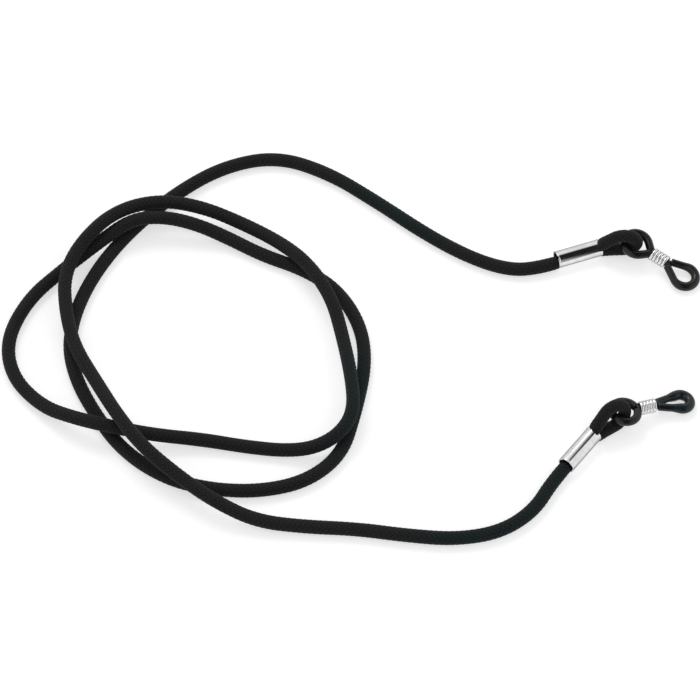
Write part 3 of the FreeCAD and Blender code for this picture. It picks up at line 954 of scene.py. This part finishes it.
class STRAP_OT_stage(bpy.types.Operator):
    """Pale table, soft lamps, white surroundings and the camera"""
    bl_idname = "strap.stage"
    bl_label = "Stage and camera"

    def seen(self, tree):
        """1 for what the eye, a reflection or a clear body sees, and 0 for light that falls on things."""
        path = node(tree, "ShaderNodeLightPath")
        direct = math_node(tree, "MAXIMUM", path.outputs["Is Camera Ray"], path.outputs["Is Glossy Ray"])
        return math_node(tree, "MAXIMUM", direct, path.outputs["Is Transmission Ray"])

    def floor(self, stage):
        mesh = bpy.data.meshes.new("table")
        corners = [(x * TABLE_HALF, y * TABLE_HALF, 0) for x, y in ((-1, -1), (1, -1), (1, 1), (-1, 1))]
        mesh.from_pydata(corners, [], [(0, 1, 2, 3)])
        table = new_object("table", mesh)
        material = bpy.data.materials.new("plain pale table")
        material.use_nodes = True
        tree = material.node_tree
        tree.nodes.clear()
        matte = node(tree, "ShaderNodeBsdfDiffuse", {"Color": opaque(stage.floor_colour)})
        lift = node(tree, "ShaderNodeEmission", {
            "Strength": math_node(tree, "MULTIPLY", self.seen(tree), stage.lift)})
        both = node(tree, "ShaderNodeAddShader", {0: matte.outputs[0], 1: lift.outputs[0]})
        node(tree, "ShaderNodeOutputMaterial", {"Surface": both.outputs[0]})
        mesh.materials.append(material)

    def world(self, stage):
        world = bpy.data.worlds.new("white room")
        world.use_nodes = True
        tree = world.node_tree
        background = tree.nodes["Background"]
        direction = node(tree, "ShaderNodeTexCoord").outputs["Generated"]
        split = node(tree, "ShaderNodeSeparateXYZ", {0: direction})
        off_gap = math_node(tree, "ABSOLUTE", math_node(tree, "SUBTRACT", split.outputs["X"], stage.gap_side))
        in_gap = ranged(tree, off_gap, stage.gap_half, GAP_FADE * stage.gap_half, 1.0, 0.0)
        in_gap = math_node(tree, "MULTIPLY", in_gap, ranged(tree, split.outputs["Y"], *GAP_BACK, 1.0, 0.0))
        dark_room = ranged(tree, in_gap, 0.0, 1.0, 1.0, stage.gap_level)
        path = node(tree, "ShaderNodeLightPath")
        in_metal = math_node(tree, "MULTIPLY", path.outputs["Is Glossy Ray"], dark_room)
        plain = math_node(tree, "MAXIMUM", path.outputs["Is Camera Ray"], path.outputs["Is Transmission Ray"])
        shown = math_node(tree, "MAXIMUM", in_metal, plain)
        room = math_node(tree, "MULTIPLY", math_node(tree, "SUBTRACT", 1.0, self.seen(tree)), stage.ambient)
        fill(tree, background, {"Strength": math_node(tree, "ADD", shown, room), "Color": (1, 1, 1, 1)})
        bpy.context.scene.world = world

    def lamp(self, name, away, size, power):
        """A soft lamp this far from the middle of the view, turned towards it."""
        data = bpy.data.lights.new(name, "AREA")
        data.shape = "RECTANGLE"
        data.size, data.size_y = size
        data.energy = power
        lamp = new_object(name, data)
        lamp.location = VIEW_MIDDLE + away
        lamp.rotation_mode = "QUATERNION"
        lamp.rotation_quaternion = (-away).to_track_quat("-Z", "Y")
        return lamp

    def camera(self):
        data = bpy.data.cameras.new("camera")
        data.lens = CAMERA_LENS
        data.sensor_width = CAMERA_SENSOR
        data.clip_start, data.clip_end = CAMERA_CLIP
        camera = new_object("camera", data)
        elevation = math.radians(CAMERA_ELEVATION)
        away = Vector((0, -math.cos(elevation), math.sin(elevation)))
        camera.location = VIEW_MIDDLE + away * CAMERA_DISTANCE
        camera.rotation_mode = "QUATERNION"
        camera.rotation_quaternion = (-away).to_track_quat("-Z", "Y")
        return camera

    def execute(self, context):
        stage = settings("stage")
        self.floor(stage)
        self.world(stage)
        self.lamp("key", KEY_PLACE, KEY_SIZE, stage.key)
        fill = self.lamp("fill", FILL_PLACE, FILL_SIZE, stage.fill)
        fill.visible_glossy = False      # the ferrules would mirror it as a white bar
        context.scene.camera = self.camera()
        context.scene.view_settings.view_transform = "Standard"
        return {"FINISHED"}


class STRAP_PT_sidebar(bpy.types.Panel):
    """The strap's pieces, in the order in which they are made"""
    bl_idname = "STRAP_PT_sidebar"
    bl_label = "Retainer strap"
    bl_space_type = "VIEW_3D"
    bl_region_type = "UI"
    bl_category = "Strap"

    def draw(self, context):
        for group, operator in STEPS:
            box = self.layout.box()
            values = settings(group)
            for key in values.__annotations__:
                box.prop(values, key)
            box.operator(operator.bl_idname)


STEPS = [
    ("stage", STRAP_OT_stage),
    ("cord", STRAP_OT_cord),
    ("cord", STRAP_OT_eyes),
    ("ferrule", STRAP_OT_ferrules),
    ("rubber", STRAP_OT_rubber),
    ("coil", STRAP_OT_coils),
]
GROUPS = {
    "cord": StrapCordSettings, "ferrule": StrapFerruleSettings, "rubber": StrapRubberSettings,
    "coil": StrapCoilSettings, "stage": StrapStageSettings,
}


def register():
    for group, kind in GROUPS.items():
        bpy.utils.register_class(kind)
        setattr(bpy.types.Scene, "strap_" + group, PointerProperty(type=kind))
    for _, operator in STEPS:
        bpy.utils.register_class(operator)
    bpy.utils.register_class(STRAP_PT_sidebar)


def unregister():
    bpy.utils.unregister_class(STRAP_PT_sidebar)
    for _, operator in reversed(STEPS):
        bpy.utils.unregister_class(operator)
    for group, kind in GROUPS.items():
        delattr(bpy.types.Scene, "strap_" + group)
        bpy.utils.unregister_class(kind)


def main():
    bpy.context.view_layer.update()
    register()
    for call in (bpy.ops.strap.stage, bpy.ops.strap.cord, bpy.ops.strap.eyes, bpy.ops.strap.ferrules,
                 bpy.ops.strap.rubber, bpy.ops.strap.coils):
        call()


if __name__ == "__main__":
    main()
